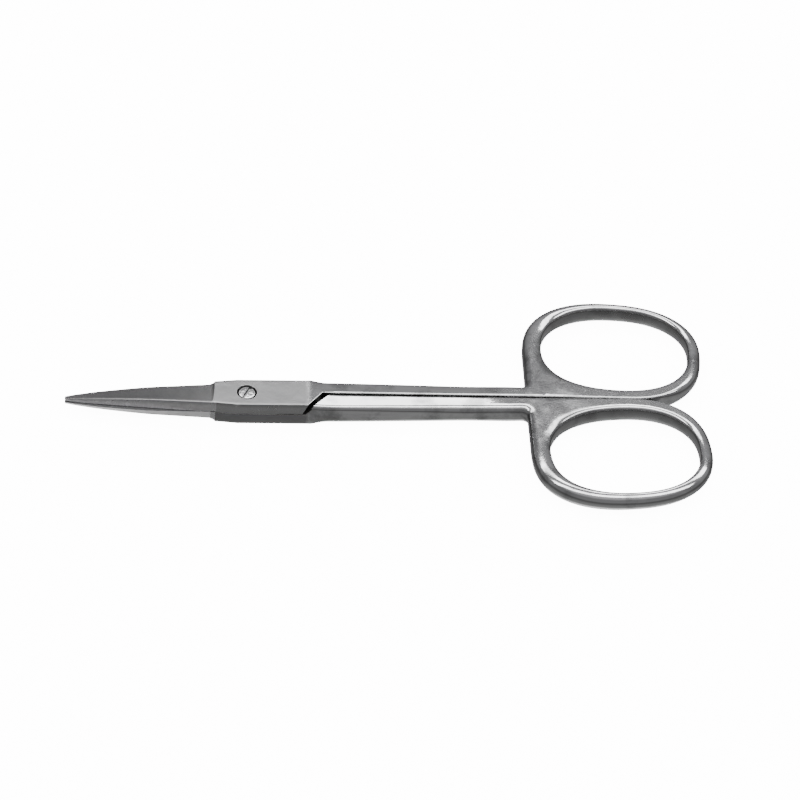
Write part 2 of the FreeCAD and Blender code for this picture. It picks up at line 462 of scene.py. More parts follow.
def ring_of_points(top, inner, outer, depth):
    """Closed section of top, far wall, inner face and near wall, with a share of its lower layer."""
    near_mid, far_mid = inner[0], inner[-1]
    rows = np.arange(1, wall_rows) / wall_rows
    lower = between(inner, outer, depth)
    return np.concatenate((
        top,
        [between(top[-1], far_mid, row) for row in rows],
        [between(far_mid, outer[-1], min(row, depth)) for row in np.concatenate(([0], rows))],
        lower[::-1],
        [between(near_mid, outer[0], min(row, depth)) for row in rows[::-1]],
        [near_mid],
        [between(near_mid, top[0], row) for row in rows],
    ))


def blade_ring(x, shrink=0.0):
    """Section of the blade, drawn in evenly where the tip is rounded off."""
    station = np.clip((blade_root - x) / (tip_reach + blade_root), 0, 1)
    spine, edge, high, low = (
        between(root, tip, smooth_curve(station_shares, shares, station))
        for root, tip, shares in (
            (root_offset, tip_spine_offset, spine_offset_shares),
            (root_offset, tip_edge_offset, edge_offset_shares),
            (root_spine_height, tip_spine_height, spine_height_shares),
            (root_edge_height, tip_edge_height, edge_height_shares)))
    soft = spine_round * high / root_spine_height
    face = edge - edge_bevel + spine
    shares = across_shares(face, soft, edge_round, joint_far_nodes)
    y = shares * face - spine
    z = between(high, low, np.clip((y + spine - soft) / (face - soft), 0, 1))
    z = z - rounding(y + spine, soft, soft) - rounding(face - y - spine, edge_round, edge_round)
    base_y = shares * (edge + spine) - spine
    bow = 4 * shares * (1 - shares)
    base_z = inner_face + hollow_depth * low / root_edge_height * bow
    top = np.stack((np.full(len(y), x), y, z), 1)
    base = np.stack((np.full(len(y), x), base_y, base_z), 1)
    ring = ring_of_points(top, base, base, 0)
    centre = np.array((x, (edge - spine) / 2, high / 2))
    ring[:, 1:] = between(ring[:, 1:], centre[1:], shrink)
    return ring


def seam_gap(x):
    """Relief at the near edge of the inner face, where the seam gapes."""
    return seam_relief * sum(
        share * smooth_step(x, start, full) * (1 - smooth_step(x, last, end))
        for start, full, last, end, share in seam_openings)


def joint_ring(places, heights, hollow=0.0, draft=0.0):
    """Section of the joint, in one layer only. Draft leans its near wall towards the blade."""
    top = np.column_stack((places, heights))
    shares = np.linspace(0, 1, len(places))
    base_z = inner_face + hollow * 4 * shares * (1 - shares)
    near_distance = np.linalg.norm(places - places[0], axis=1)
    relief = seam_gap(places[0, 0]) * np.clip(1 - near_distance / seam_relief_width, 0, 1)
    base = np.column_stack((places, base_z + relief))
    base[:, 0] -= draft * (1 - near_distance / near_distance[-1]) ** 2
    return ring_of_points(top, base, base, 0)


def step_rings():
    """Concave foot of the ground step and its crisp rim, where the joint's flat top begins."""
    shares = across_shares(step_width, joint_round, joint_round, joint_far_nodes)
    y = (2 * shares - 1) * root_offset
    fall = (root_spine_height - root_edge_height) / (step_width - edge_bevel - spine_round)
    plane = root_spine_height - fall * np.maximum(y + root_offset - spine_round, 0)
    rise = half_thickness - step_rim - plane
    reach = np.sqrt(step_round ** 2 - (step_round - rise) ** 2)
    rings = []
    for share in np.linspace(step_foot_share, 1, step_sections):
        x = blade_root + reach * share
        side = joint_side(x)
        y_here = (2 * shares - 1) * side
        z = plane + step_round - np.sqrt(step_round ** 2 - (reach * share) ** 2)
        soft = between(spine_round, joint_round, share)
        z = z - rounding(y_here + side, soft, soft)
        z = z - rounding(side - y_here, joint_round, between(edge_round, joint_round, share))
        rings.append(joint_ring(np.column_stack((x, y_here)), z, hollow_depth * (1 - share)))
    return rings, blade_root + reach + step_rim


def joint_rings(crest):
    """Joint from the step's rim to where its near side turns into the slanted shoulder."""
    rings = []
    shares = across_shares(joint_width, joint_round, joint_round, joint_far_nodes)
    for share in waist_section_shares:
        x = between(crest, -waist_reach, share)
        places = np.column_stack((x, (2 * shares - 1) * joint_side(x)))
        rings.append(joint_ring(places, upper_surface(places)))
    far_end = shoulder_reach - shoulder_run
    for share in np.linspace(0, 1, joint_sections)[1:]:
        near = np.array((between(-waist_reach, shoulder_reach, share), -half_width))
        far = np.array((between(-waist_reach, far_end, share), half_width))
        places = between(near, far, shares[:, None])
        rings.append(joint_ring(places, upper_surface(places), draft=shoulder_draft * share))
    return rings


def lower_shoulder(y):
    """Reach of the shoulder in the lower layer, which clears the other half's joint."""
    return lower_shoulder_reach + shoulder_run * (half_width - y) / (half_width + parting_offset)


def shank_places(near, far):
    """Plan points across the shank between a point of its parting side and one of its outer side."""
    side_round = between(
        shoulder_side_round, heel_side_round, smooth_step(far[0], full_shank_reach, heel_reach))
    shares = across_shares(np.linalg.norm(far - near), parting_round, side_round, shank_far_nodes)
    return between(near, far, shares[:, None])


def shank_ring(near, far, lower_shift=0.0, depth=1.0):
    """Section of the shank, down to a share of its depth. Lower_shift moves its lower face along."""
    places = shank_places(near, far)
    lower_places = places
    if lower_shift:
        shares = np.linalg.norm(places - near, axis=1) / np.linalg.norm(far - near)
        lower_places = between(
            near_point(near[0] + lower_shift), far_point(far[0] + lower_shift), shares[:, None])
    top = np.column_stack((places, upper_surface(places)))
    inner = np.column_stack((places, np.full(len(places), inner_face)))
    outer = np.column_stack((lower_places, -bar_surface(lower_places)))
    return ring_of_points(top, inner, outer, depth)


def shoulder_rings():
    """Slanted shoulder in the upper layer, then the step down into the lower layer."""
    far_start = shoulder_reach - shoulder_run
    near_end = near_point(max(lower_shoulder(parting_offset), shoulder_end[0] + shoulder_round))
    far_end = far_point(lower_shoulder(half_width))
    joint = across_shares(joint_width, joint_round, joint_round, joint_far_nodes)
    places = shank_places(near_end, far_end)
    shank = np.linalg.norm(places - near_end, axis=1) / np.linalg.norm(far_end - near_end)
    rings = []
    for share in np.linspace(0, 1, shoulder_sections)[1:]:
        near = between(shoulder_start, shoulder_end, share)
        far = far_point(between(far_start, far_end[0] - shoulder_round, share))
        shares = between(joint, shank, smooth_step(share, shoulder_blend_share, 1))
        places = between(near, far, shares[:, None])
        draft = between(shoulder_draft, shoulder_end_draft, share)
        rings.append(joint_ring(places, upper_surface(places), draft=draft))
    rings += [
        shank_ring(near_end, far_end, lower_shoulder_draft, level / wall_rows)
        for level in range(wall_rows + 1)]
    return rings, near_end[0], far_end[0]


def shank_rings(near_start, far_start):
    """Shank from the shoulder to the web. Its first sections lean as the shoulder does."""
    rings = []
    straight = shoulder_reach + lean_fade_runs * shoulder_run
    for share in np.linspace(0, 1, leaning_sections)[1:]:
        rings.append(shank_ring(
            near_point(between(near_start, straight, share)),
            far_point(between(far_start, straight, share)), lower_shoulder_draft * (1 - share)))
    side_x = np.linspace(straight, heel_reach - heel_round, shank_sections)
    side = np.column_stack((side_x, bar_side(side_x)))
    far_line = np.concatenate((side, plan.heel[::-1][1:len(plan.heel) - heel_node]))
    slanted = smooth_step(side_x, straight, heel_reach)
    slanted = slanted / slanted[-1] * web_slant
    slant = np.concatenate((slanted, np.full(len(far_line) - len(side), web_slant)))
    for far, lean in zip(far_line[1:], slant[1:]):
        rings.append(shank_ring(near_point(far[0] + lean), far))
    return rings


def finger_ring():
    """Plan points over the finger ring, their heights, and how many rows start at its outer edge."""
    section_far = plan.heel[heel_node]
    section_near = near_point(section_far[0] + web_slant)
    section = shank_places(section_near, section_far)
    lines = (
        np.stack((section_near, plan.touch)), plan.ring_near, plan.ring_far,
        np.stack((plan.ring_far[-1], plan.heel[0])))
    edge = np.concatenate(
        [section_near[None]] + [spaced(line, count)[1:] for line, count in zip(lines, ring_edge_nodes)]
        + [plan.heel[1:heel_node + 1]])
    outer = np.concatenate((edge, section[::-1][1:-1]))
    _, place = nearest(outer, plan.opening)
    around = len(plan.opening) - 1
    forward = np.maximum.accumulate((place - place[0] + 1) % around)
    run = run_along(outer)
    even = run / (run[-1] + np.linalg.norm(outer[0] - outer[-1])) * around
    place = (place[0] - 1 + between(forward, even, ring_even_share)) % around
    index = np.arange(len(plan.opening))
    inner = np.stack([np.interp(place, index, plan.opening[:, i]) for i in (0, 1)], 1)
    reach = np.linalg.norm(inner - outer, axis=1)
    near_distance, near_place = nearest(outer, near_line)
    far_distance, far_place = nearest(outer, far_line)
    near_width = np.interp(near_place, np.arange(len(near_line)), near_shape[:, 0])
    far_width = np.interp(far_place, np.arange(len(far_line)), far_shape[:, 0])
    width = np.where(near_distance < far_distance, near_width, far_width)
    width = np.minimum(width, ring_outer_share * reach)
    rows = [width * share for share in cluster(ring_outer_nodes)]
    broad = np.minimum(inner_width(inner[:, 0]), ring_inner_share * reach)
    rows += [between(width, reach - broad, share)
             for share in np.linspace(0, 1, ring_middle_nodes + 2)[1:-1]]
    rows += [reach - broad * share for share in cluster(ring_inner_nodes)[::-1]]
    shares = np.stack(rows, 1) / reach[:, None]
    places = between(outer[:, None], inner[:, None], shares[..., None])
    heights = bar_surface(places.reshape(-1, 2)).reshape(places.shape[:2])
    return places, heights, len(edge)


def quads(grid):
    """Faces between the rows and columns of a grid of point numbers."""
    return [
        (grid[i, j], grid[i, j + 1], grid[i + 1, j + 1], grid[i + 1, j])
        for i in range(grid.shape[0] - 1) for j in range(grid.shape[1] - 1)]


def half_points():
    """Points and faces of a half, before its coincident points are joined."""
    points, faces = [], []

    def grid_of(block):
        start = len(points)
        points.extend(block.reshape(-1, 3))
        return np.arange(start, len(points)).reshape(block.shape[:2])

    rings = [
        blade_ring(-tip_reach + tip_round * (1 - math.sin(turn)), 1 - math.cos(turn))
        for turn in np.linspace(tip_turn, 0, tip_sections)]
    rings += [
        blade_ring(x) for x in np.linspace(-tip_reach + tip_round, blade_root, blade_sections)[1:]]
    foot, crest = step_rings()
    shoulder, near, far = shoulder_rings()
    rings += foot + joint_rings(crest) + shoulder + shank_rings(near, far)
    skin = grid_of(np.stack([np.concatenate((ring, ring[:1])) for ring in rings]))
    faces += quads(skin)
    faces.append(tuple(skin[0, :-1]))
    places, heights, edge_count = finger_ring()
    top = np.concatenate((places, heights[..., None]), 2)
    bottom = top * np.array((1, 1, -1))
    closed = np.concatenate((np.arange(len(top)), (0,)))
    faces += quads(grid_of(top[closed])) + quads(grid_of(bottom[closed]))
    middle = top[:edge_count, 0] * np.array((1, 1, 0)) + np.array((0, 0, inner_face))
    levels = np.arange(wall_rows + 1) / wall_rows
    wall = [between(top[:edge_count, 0], middle, level) for level in levels]
    wall += [between(middle, bottom[:edge_count, 0], level) for level in levels[1:]]
    faces += quads(grid_of(np.stack(wall, 1)))
    levels = np.linspace(0, 1, inner_rows + 1)
    centre = plan.opening[:-1].mean(0)
    inward = np.concatenate((centre - top[:, -1, :2], np.zeros((len(top), 1))), 1)
    inward = inward / np.linalg.norm(inward, axis=1)[:, None]
    wall = [between(top[:, -1], bottom[:, -1], level) + inward * inner_bulge * 4 * level * (1 - level)
            for level in levels]
    faces += quads(grid_of(np.stack(wall, 1)[closed]))
    return np.array(points), faces


def make_mesh(name, points, faces):
    """Closed mesh with coincident points joined and collapsed faces left out."""
    mesh = bpy.data.meshes.new(name)
    mesh.from_pydata(
        [tuple(point) for point in points], [], [tuple(int(i) for i in face) for face in faces])
    form = bmesh.new()
    form.from_mesh(mesh)
    bmesh.ops.remove_doubles(form, verts=form.verts, dist=weld_distance)
    bmesh.ops.dissolve_degenerate(form, edges=form.edges, dist=weld_distance / 10)
    bmesh.ops.recalc_face_normals(form, faces=form.faces)
    open_edges = sum(1 for edge in form.edges if len(edge.link_faces) != 2)
    print(name, "faces", len(form.faces), "open edges", open_edges)
    form.to_mesh(mesh)
    form.free()
    return mesh


def add_piece(name, data):
    piece = bpy.data.objects.new(name, data)
    bpy.context.scene.collection.objects.link(piece)
    return piece


def lathe(name, profile, count=turned_sides):
    """Closed turned form from a profile of radius and height pairs, both ends on the axis."""
    points, faces = [], []
    turns = np.linspace(0, 2 * math.pi, count + 1)[:-1]
    for radius, height in profile:
        points += [(radius * math.cos(turn), radius * math.sin(turn), height) for turn in turns]
    for i in range(len(profile) - 1):
        for j in range(count):
            k = (j + 1) % count
            faces.append((i * count + j, i * count + k, (i + 1) * count + k, (i + 1) * count + j))
    return make_mesh(name, points, faces)


def cut(piece, tool):
    """Takes the tool's form out of the piece."""
    modifier = piece.modifiers.new("cut", "BOOLEAN")
    modifier.operation = "DIFFERENCE"
    modifier.solver = "EXACT"
    modifier.object = tool
    view = bpy.context.evaluated_depsgraph_get()
    result = bpy.data.meshes.new_from_object(piece.evaluated_get(view))
    piece.modifiers.clear()
    plain = piece.data
    piece.data = result
    bpy.data.meshes.remove(plain)
    bpy.data.objects.remove(tool)


# Camera, at the photograph's viewing angle
camera_elevation = math.radians(44.45)
camera_azimuth = math.radians(-6.31)
camera_roll = math.radians(-4.98)
camera_distance = 0.7
camera_target = Vector((0.02134, 0.0006, 0.00185))
pixels_per_metre = 7207.0
frame_pixels = 800
sensor_width = 36

# Floor: its size in metres, and how bright the steel and the camera see it
floor_size = 6.0
floor_tone = (0.86, 0.86, 0.87, 1)
floor_gloss = ((0.0, 2.0), (0.1, 1.1), (0.2, 0.42), (0.32, 0.33), (0.75, 0.13), (1.0, 0.2))
floor_glow = 13

# Softboxes: tilt from the near horizon, width in metres and power
softboxes = (("rear_softbox", 120.0, 0.2, 7.0), ("front_softbox", 79.0, 0.2, 6.0))
softbox_length = 1.5
softbox_distance = 0.6
softbox_middle = 0.02

# Room: height where it starts to change, height where it ends, and its strength at both
room_behind = (-0.1, 0.75, 0.3, 0.52)
room_before = (0.5, 0.92, 0.28, 0.85)
room_turn = 0.3


def add_camera():
    """Camera with the photograph's direction, roll and framing."""
    back = Vector((
        math.sin(camera_azimuth) * math.cos(camera_elevation),
        -math.cos(camera_azimuth) * math.cos(camera_elevation),
        math.sin(camera_elevation),
    ))
    level = Vector((math.cos(camera_azimuth), math.sin(camera_azimuth), 0))
    upright = back.cross(level)
    right = level * math.cos(camera_roll) - upright * math.sin(camera_roll)
    up = level * math.sin(camera_roll) + upright * math.cos(camera_roll)
    data = bpy.data.cameras.new("camera")
    data.sensor_width = sensor_width
    data.lens = data.sensor_width * pixels_per_metre * camera_distance / frame_pixels
    data.clip_start = 0.01
    data.clip_end = 20
    camera = add_piece("camera", data)
    camera.matrix_world = Matrix.Translation(camera_target + back * camera_distance) @ Matrix(
        (right, up, back)).transposed().to_4x4()
    bpy.context.scene.camera = camera


def add_floor():
    """Wide pale floor. Polished metal sees it dark at a low angle and pale close under its edges."""
    mesh = bpy.data.meshes.new("floor")
    half = floor_size / 2
    mesh.from_pydata(
        [(-half, -half, 0), (half, -half, 0), (half, half, 0), (-half, half, 0)], [], [(0, 1, 2, 3)])
    floor = add_piece("floor", mesh)
    material = bpy.data.materials.new("pale_floor")
    material.use_nodes = True
    tree = material.node_tree
    tree.nodes.clear()
    output = tree.nodes.new("ShaderNodeOutputMaterial")
    pale = tree.nodes.new("ShaderNodeBsdfDiffuse")
    pale.inputs["Color"].default_value = floor_tone
    seen = tree.nodes.new("ShaderNodeEmission")
    seen.inputs["Color"].default_value = (1, 1, 1, 1)
    facing = tree.nodes.new("ShaderNodeLayerWeight")
    facing.inputs["Blend"].default_value = 0.5
    ramp = tree.nodes.new("ShaderNodeValToRGB")
    while len(ramp.color_ramp.elements) < len(floor_gloss):
        ramp.color_ramp.elements.new(0.5)
    for element, (place, value) in zip(ramp.color_ramp.elements, floor_gloss):
        element.position = place
        element.color = (value, value, value, 1)
    glow = tree.nodes.new("ShaderNodeEmission")
    glow.inputs["Strength"].default_value = floor_glow
    bright = tree.nodes.new("ShaderNodeAddShader")
    mix = tree.nodes.new("ShaderNodeMixShader")
    camera_mix = tree.nodes.new("ShaderNodeMixShader")
    path = tree.nodes.new("ShaderNodeLightPath")
    for source, target in (
            (facing.outputs["Facing"], ramp.inputs["Fac"]),
            (ramp.outputs["Color"], seen.inputs["Strength"]),
            (path.outputs["Is Glossy Ray"], mix.inputs[0]),
            (pale.outputs[0], mix.inputs[1]),
            (seen.outputs[0], mix.inputs[2]),
            (pale.outputs[0], bright.inputs[0]),
            (glow.outputs[0], bright.inputs[1]),
            (path.outputs["Is Camera Ray"], camera_mix.inputs[0]),
            (mix.outputs[0], camera_mix.inputs[1]),
            (bright.outputs[0], camera_mix.inputs[2]),
            (camera_mix.outputs[0], output.inputs["Surface"])):
        tree.links.new(source, target)
    mesh.materials.append(material)


def add_lights():
    """Two wide overhead softboxes in a grey room that is paler behind the object."""
    for name, tilt, width, energy in softboxes:
        data = bpy.data.lights.new(name, "AREA")
        data.shape = "RECTANGLE"
        data.size = softbox_length
        data.size_y = width
        data.energy = energy
        box = add_piece(name, data)
        lean = math.radians(tilt)
        direction = Vector((0, -math.cos(lean), math.sin(lean)))
        box.location = Vector((softbox_middle, 0, 0)) + direction * softbox_distance
        box.rotation_mode = "QUATERNION"
        box.rotation_quaternion = direction.to_track_quat("Z", "Y")
    world = bpy.data.worlds.new("room")
    world.use_nodes = True
    tree = world.node_tree
    background = tree.nodes["Background"]
    coordinates = tree.nodes.new("ShaderNodeTexCoord")
    split = tree.nodes.new("ShaderNodeSeparateXYZ")
    tree.links.new(coordinates.outputs["Generated"], split.inputs[0])
    behind = eased(tree, split.outputs["Z"], *room_behind)
    before = eased(tree, split.outputs["Z"], *room_before)
    side = eased(tree, split.outputs["Y"], -room_turn, room_turn)
    change = worked(tree, "SUBTRACT", behind, before)
    tree.links.new(worked(tree, "MULTIPLY_ADD", change, side, before), background.inputs["Strength"])
    background.inputs["Color"].default_value = (1, 1, 1.02, 1)
    bpy.context.scene.world = world


def new_group(name, inputs, outputs):
    """Shared shader group with its named inputs and outputs."""
    group = bpy.data.node_groups.new(name, "ShaderNodeTree")
    for label, value in inputs:
        kind = "NodeSocketColor" if isinstance(value, tuple) else "NodeSocketFloat"
        socket = group.interface.new_socket(name=label, in_out="INPUT", socket_type=kind)
        socket.default_value = value
    for label, kind in outputs:
        group.interface.new_socket(name=label, in_out="OUTPUT", socket_type=kind)
    return group, group.nodes.new("NodeGroupInput").outputs, group.nodes.new("NodeGroupOutput").inputs


def feed(tree, value, socket):
    """Gives an input its value, which is another node's output or a plain setting."""
    if isinstance(value, bpy.types.NodeSocket):
        tree.links.new(value, socket)
    else:
        socket.default_value = value


def worked(tree, operation, *values):
    """Math node over sockets and numbers. Gives its result."""
    node = tree.nodes.new("ShaderNodeMath")
    node.operation = operation
    for value, socket in zip(values, node.inputs):
        feed(tree, value, socket)
    return node.outputs[0]


def eased(tree, value, start, end, low=0.0, high=1.0):
    """Smooth rise of a value between two marks."""
    node = tree.nodes.new("ShaderNodeMapRange")
    node.interpolation_type = "SMOOTHSTEP"
    for label, setting in (
            ("From Min", start), ("From Max", end), ("To Min", low), ("To Max", high), ("Value", value)):
        feed(tree, setting, node.inputs[label])
    return node.outputs["Result"]


def speckle(tree, vector, scale, detail, roughness):
    """Noise between 0 and 1, its spots smaller as the scale rises."""
    node = tree.nodes.new("ShaderNodeTexNoise")
    for label, setting in (
            ("Detail", detail), ("Roughness", roughness), ("Scale", scale), ("Vector", vector)):
        feed(tree, setting, node.inputs[label])
    return node.outputs["Fac"]


def stretched(tree, turn, stretch):
    """Object coordinates turned in plan and drawn out along the turned direction."""
    place = tree.nodes.new("ShaderNodeTexCoord")
    rotate = tree.nodes.new("ShaderNodeVectorRotate")
    rotate.rotation_type = "Z_AXIS"
    split = tree.nodes.new("ShaderNodeSeparateXYZ")
    join = tree.nodes.new("ShaderNodeCombineXYZ")
    tree.links.new(place.outputs["Object"], rotate.inputs["Vector"])
    feed(tree, turn, rotate.inputs["Angle"])
    tree.links.new(rotate.outputs[0], split.inputs[0])
    tree.links.new(worked(tree, "DIVIDE", split.outputs["X"], stretch), join.inputs["X"])
    tree.links.new(split.outputs["Y"], join.inputs["Y"])
    tree.links.new(split.outputs["Z"], join.inputs["Z"])
    return join.outputs[0]


def grinding_group():
    """Fine parallel lines left by a grinding belt, some deeper than others."""
    group, given, result = new_group(
        "grinding_lines", (("Turn", 0.0), ("Fineness", 9000.0), ("Stretch", 40.0)),
        (("Lines", "NodeSocketFloat"), ("Bands", "NodeSocketFloat")))
    across = stretched(group, given["Turn"], given["Stretch"])
    fine = speckle(group, across, given["Fineness"], detail=5, roughness=0.72)
    wide_fineness = worked(group, "MULTIPLY", given["Fineness"], 0.12)
    wide = speckle(group, across, wide_fineness, detail=2, roughness=0.5)
    group.links.new(worked(group, "ADD", worked(group, "MULTIPLY", fine, 0.7),
                           worked(group, "MULTIPLY", wide, 0.3)), result["Lines"])
    group.links.new(eased(group, wide, 0.36, 0.66), result["Bands"])
    return group


def handling_group():
    """Finger smudges and thin scratches from use."""
    group, given, result = new_group(
        "handling_marks", (("Size", 260.0), ("Scratch Turn", 0.4)),
        (("Smudge", "NodeSocketFloat"), ("Scratch", "NodeSocketFloat")))
    place = group.nodes.new("ShaderNodeTexCoord").outputs["Object"]
    smudge = speckle(group, place, given["Size"], detail=4, roughness=0.6)
    group.links.new(eased(group, smudge, 0.44, 0.68), result["Smudge"])
    masks = []
    for turn, size, stretch in ((0.0, 620.0, 7.0), (1.1, 480.0, 5.0)):
        across = stretched(group, worked(group, "ADD", given["Scratch Turn"], turn), stretch)
        field = speckle(group, across, size, detail=1, roughness=0.4)
        away = worked(group, "ABSOLUTE", worked(group, "SUBTRACT", field, 0.5))
        masks.append(eased(group, away, 0.0, 0.004, 1.0, 0.0))
    broken = eased(group, speckle(group, place, 900, detail=2, roughness=0.5), 0.54, 0.64)
    group.links.new(worked(group, "MULTIPLY", worked(group, "MAXIMUM", *masks), broken), result["Scratch"])
    return group


def edge_group():
    """Rubbed bright edges, found where a softened normal leaves the true one."""
    group, given, result = new_group(
        "edge_wear", (("Width", 0.0001), ("Sharpness", 5.0)), (("Edge", "NodeSocketFloat"),))
    bevel = group.nodes.new("ShaderNodeBevel")
    bevel.samples = 4
    true = group.nodes.new("ShaderNodeNewGeometry")
    compare = group.nodes.new("ShaderNodeVectorMath")
    compare.operation = "DOT_PRODUCT"
    group.links.new(given["Width"], bevel.inputs["Radius"])
    group.links.new(bevel.outputs[0], compare.inputs[0])
    group.links.new(true.outputs["Normal"], compare.inputs[1])
    gone = worked(group, "SUBTRACT", 1.0, compare.outputs["Value"])
    group.links.new(eased(group, worked(group, "MULTIPLY", gone, given["Sharpness"]), 0.05, 0.8),
                    result["Edge"])
    return group


def ripple_group():
    """Shallow waviness left by hand buffing."""
    group, given, result = new_group(
        "buffed_ripple", (("Size", 420.0), ("Fine Share", 0.2)), (("Height", "NodeSocketFloat"),))
    place = group.nodes.new("ShaderNodeTexCoord").outputs["Object"]
    wide = speckle(group, place, given["Size"], detail=1, roughness=0.4)
    fine_size = worked(group, "MULTIPLY", given["Size"], 5.5)
    fine = speckle(group, place, fine_size, detail=2, roughness=0.5)
    group.links.new(worked(group, "ADD", wide, worked(group, "MULTIPLY", fine, given["Fine Share"])),
                    result["Height"])
    return group


def crevice_group():
    """Painted shade in narrow gaps and hollows, found by ambient occlusion."""
    group, given, result = new_group(
        "crevice_shade", (("Reach", 0.0008), ("Open", 0.55)), (("Shade", "NodeSocketFloat"),))
    shade = group.nodes.new("ShaderNodeAmbientOcclusion")
    shade.samples = 8
    group.links.new(given["Reach"], shade.inputs["Distance"])
    group.links.new(eased(group, shade.outputs["AO"], 0.05, given["Open"], 1.0, 0.0), result["Shade"])
    return group


def colour_group():
    """Steel colour from its clean and dull tones, edge wear and the shade in gaps."""
    group, given, result = new_group(
        "steel_colour",
        (("Clean", (0.6, 0.6, 0.61, 1)), ("Dull", (0.4, 0.4, 0.4, 1)), ("Bare Edge", (0.8, 0.8, 0.8, 1)),
         ("Dullness", 0.0), ("Edge", 0.0), ("Shade", 0.0)), (("Colour", "NodeSocketColor"),))
    colour = given["Clean"]
    # The last mix paints shade: a near-black tone where the ambient occlusion is low.
    for amount, other in (
            ("Dullness", given["Dull"]), ("Edge", given["Bare Edge"]), ("Shade", painted_gap_shade_tone)):
        mix = group.nodes.new("ShaderNodeMix")
        mix.data_type = "RGBA"
        group.links.new(given[amount], mix.inputs["Factor"])
        group.links.new(colour, mix.inputs[6])
        feed(group, other, mix.inputs[7])
        colour = mix.outputs[2]
    group.links.new(colour, result["Colour"])
    return group


def use_group(tree, group, **settings):
    """Node for a shared group, its inputs given by name with spaces as underscores."""
    node = tree.nodes.new("ShaderNodeGroup")
    node.node_tree = group
    for label, value in settings.items():
        feed(tree, value, node.inputs[label.replace("_", " ")])
    return node.outputs


def grey(value):
    return (value, value, value * 1.01, 1)


def steel(name, clean, dull, bare, roughness, line_turn, line_fineness, line_stretch,
          line_depth, ripple_size, ripple_depth, edge_width, smudging, zone=None, shade_open=0.55):
    """Steel with ground lines, buffing waves, smudges, scratches, bare edges and shaded gaps."""
    material = bpy.data.materials.new(name)
    material.use_nodes = True
    tree = material.node_tree
    shader = tree.nodes["Principled BSDF"]
    shader.inputs["Metallic"].default_value = 1
    lines = use_group(
        tree, groups["grinding"], Turn=line_turn, Fineness=line_fineness, Stretch=line_stretch)
    marks = use_group(tree, groups["handling"], Size=smudge_size, Scratch_Turn=line_turn + scratch_turn)
    edge = use_group(tree, groups["edge"], Width=edge_width * mm, Sharpness=edge_sharpness)["Edge"]
    ripple = use_group(tree, groups["ripple"], Size=ripple_size, Fine_Share=fine_ripple_share)["Height"]
    shade = use_group(tree, groups["crevice"], Reach=shade_reach * mm, Open=shade_open)["Shade"]
    dullness = worked(tree, "MULTIPLY", marks["Smudge"], smudging)
    dullness = worked(tree, "ADD", dullness, worked(tree, "MULTIPLY", lines["Bands"], 0.25))
    rough = worked(tree, "MULTIPLY_ADD", lines["Lines"], 0.1, roughness - 0.05)
    rough = worked(tree, "MULTIPLY_ADD", marks["Smudge"], 0.12 * smudging, rough)
    if zone is not None:
        zone_dullness, zone_roughness = zone(tree)
        dullness = worked(tree, "MAXIMUM", dullness, zone_dullness)
        rough = worked(tree, "ADD", rough, zone_roughness)
    dullness = worked(tree, "MINIMUM", dullness, 1.0)
    colour = use_group(
        tree, groups["colour"], Clean=grey(clean), Dull=grey(dull), Bare_Edge=grey(bare),
        Dullness=dullness, Edge=edge, Shade=shade)["Colour"]
    rough = worked(tree, "MULTIPLY_ADD", marks["Scratch"], 0.1, rough)
    rough = worked(tree, "MULTIPLY_ADD", shade, 0.4, rough)
    tree.links.new(colour, shader.inputs["Base Color"])
    tree.links.new(rough, shader.inputs["Roughness"])
    wave = tree.nodes.new("ShaderNodeBump")
    wave.inputs["Distance"].default_value = ripple_depth * mm
    tree.links.new(ripple, wave.inputs["Height"])
    grain = tree.nodes.new("ShaderNodeBump")
    grain.inputs["Distance"].default_value = line_depth * mm
    height = worked(tree, "MULTIPLY_ADD", marks["Scratch"], -0.25, lines["Lines"])
    tree.links.new(height, grain.inputs["Height"])
    tree.links.new(wave.outputs["Normal"], grain.inputs["Normal"])
    tree.links.new(grain.outputs["Normal"], shader.inputs["Normal"])
    return material


def satin_zone(tree):
    """Satin joint and duller webs. The rest of the bar is brightly polished."""
    place = tree.nodes.new("ShaderNodeTexCoord").outputs["Object"]
    split = tree.nodes.new("ShaderNodeSeparateXYZ")
    tree.links.new(place, split.inputs[0])
    uneven = speckle(tree, place, 1500, detail=3, roughness=0.6)
    uneven = worked(tree, "MULTIPLY_ADD", uneven, satin_border * mm, -satin_border / 2 * mm)
    along = worked(tree, "ADD", split.outputs["X"], uneven)
    joint = eased(tree, along, satin_fade_reach * mm, satin_end_reach * mm, 1.0, 0.0)
    aside = worked(tree, "SUBTRACT", worked(tree, "ABSOLUTE", split.outputs["Y"]), web_middle * mm)
    aside = worked(tree, "MULTIPLY", aside, web_narrowing)
    ahead = worked(tree, "SUBTRACT", split.outputs["X"], web_reach * mm)
    ahead = worked(tree, "MULTIPLY", ahead, web_narrowing)
    away = worked(tree, "SQRT", worked(
        tree, "ADD", worked(tree, "MULTIPLY", aside, aside), worked(tree, "MULTIPLY", ahead, ahead)))
    away = worked(tree, "ADD", away, worked(tree, "MULTIPLY", uneven, web_unevenness))
    cloudy = eased(tree, speckle(tree, place, 700, detail=3, roughness=0.6), 0.35, 0.65, 0.5, 1.0)
    web = eased(tree, away, web_core * mm, web_fade * mm, 1.0, 0.0)
    web = worked(tree, "MULTIPLY", web, cloudy)
    satin = worked(tree, "MAXIMUM", joint, worked(tree, "MULTIPLY", web, web_satin_share))
    return worked(tree, "MAXIMUM", joint, web), worked(tree, "MULTIPLY", satin, satin_roughness)


def dress(mesh, steels, finish):
    """Gives a mesh its finishes, face by face, and smooth faces between its sharp edges."""
    mesh.materials.clear()
    for material in steels:
        mesh.materials.append(material)
    mesh.polygons.foreach_set("use_smooth", [True] * len(mesh.polygons))
    mesh.polygons.foreach_set("material_index", finish)
    mesh.set_sharp_from_angle(angle=sharp_angle)


